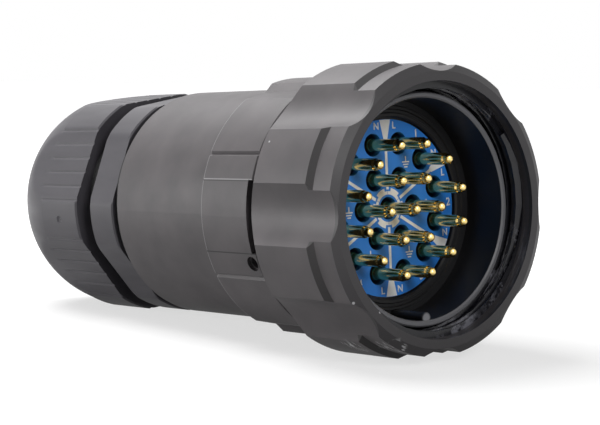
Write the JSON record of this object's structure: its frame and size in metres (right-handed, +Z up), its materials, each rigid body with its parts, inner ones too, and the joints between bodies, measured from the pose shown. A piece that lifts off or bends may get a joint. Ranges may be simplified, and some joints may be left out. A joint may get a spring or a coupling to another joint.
{
  "type": "circular multi-contact cable plug",
  "caption": "Circular multi-contact cable plug with a threaded, fluted coupling ring, round pins in a moulded insert and a dome-nut cable gland.",
  "frame": {"origin": "on the connector's axis at the coupling ring's front face", "axes": "+X along the axis towards the mating end, +Z up as it lies, +Y to the right when looking into the contacts"},
  "size_m": [0.1223, 0.0568, 0.0568],
  "materials": {
    "anodised": "satin black anodised",
    "insert_blue": "moulded blue with light grey print",
    "insulator": "moulded black",
    "gland_plastic": "moulded dark grey polyamide, slightly glossy",
    "cage_plastic": "moulded black polyamide",
    "rubber": "black rubber",
    "steel": "plain steel",
    "gold_contact": "bright gold plate"
  },
  "bodies": {
    "plug_body": {"plug_shell": "anodised", "face_seal": "rubber", "contact_insert": "insert_blue", "rear_insulator": "insulator", "insert_nut": "anodised", "thrust_washer": "steel", "backshell": "anodised", "shell_o_ring": "rubber", "set_screw": "steel", "gland_body": "gland_plastic", "gland_washer": "rubber", "pin_01": "gold_contact", "pin_02": "gold_contact", "pin_03": "gold_contact", "pin_04": "gold_contact", "pin_05": "gold_contact", "pin_06": "gold_contact", "pin_07": "gold_contact", "pin_08": "gold_contact", "pin_09": "gold_contact", "pin_10": "gold_contact", "pin_11": "gold_contact", "pin_12": "gold_contact", "pin_13": "gold_contact", "pin_14": "gold_contact", "pin_15": "gold_contact", "pin_16": "gold_contact", "pin_17": "gold_contact", "pin_18": "gold_contact", "pin_19": "gold_contact"},
    "coupling_ring": {"coupling_ring": "anodised"},
    "cable_grip": {"clamp_cage": "cage_plastic", "cable_seal": "rubber"},
    "dome_nut": {"dome_nut": "gland_plastic"}
  },
  "joints": [
    {"name": "ring_turn", "type": "hinge", "parent": "plug_body", "child": "coupling_ring", "pos_m": [-0.0237, 0, 0], "axis": [1, 0, 0], "continuous": true},
    {"name": "grip_travel", "type": "slide", "parent": "plug_body", "child": "cable_grip", "axis": [1, 0, 0], "range_m": [-0.0031, 0.0036]},
    {"name": "nut_turn", "type": "hinge", "parent": "cable_grip", "child": "dome_nut", "pos_m": [-0.1, 0, 0], "axis": [1, 0, 0], "range_deg": [-720, 840]}
  ],
  "couplings": [
    {"joint": "grip_travel", "follows": "nut_turn", "m_per_rad": 0.00023873}
  ]
}
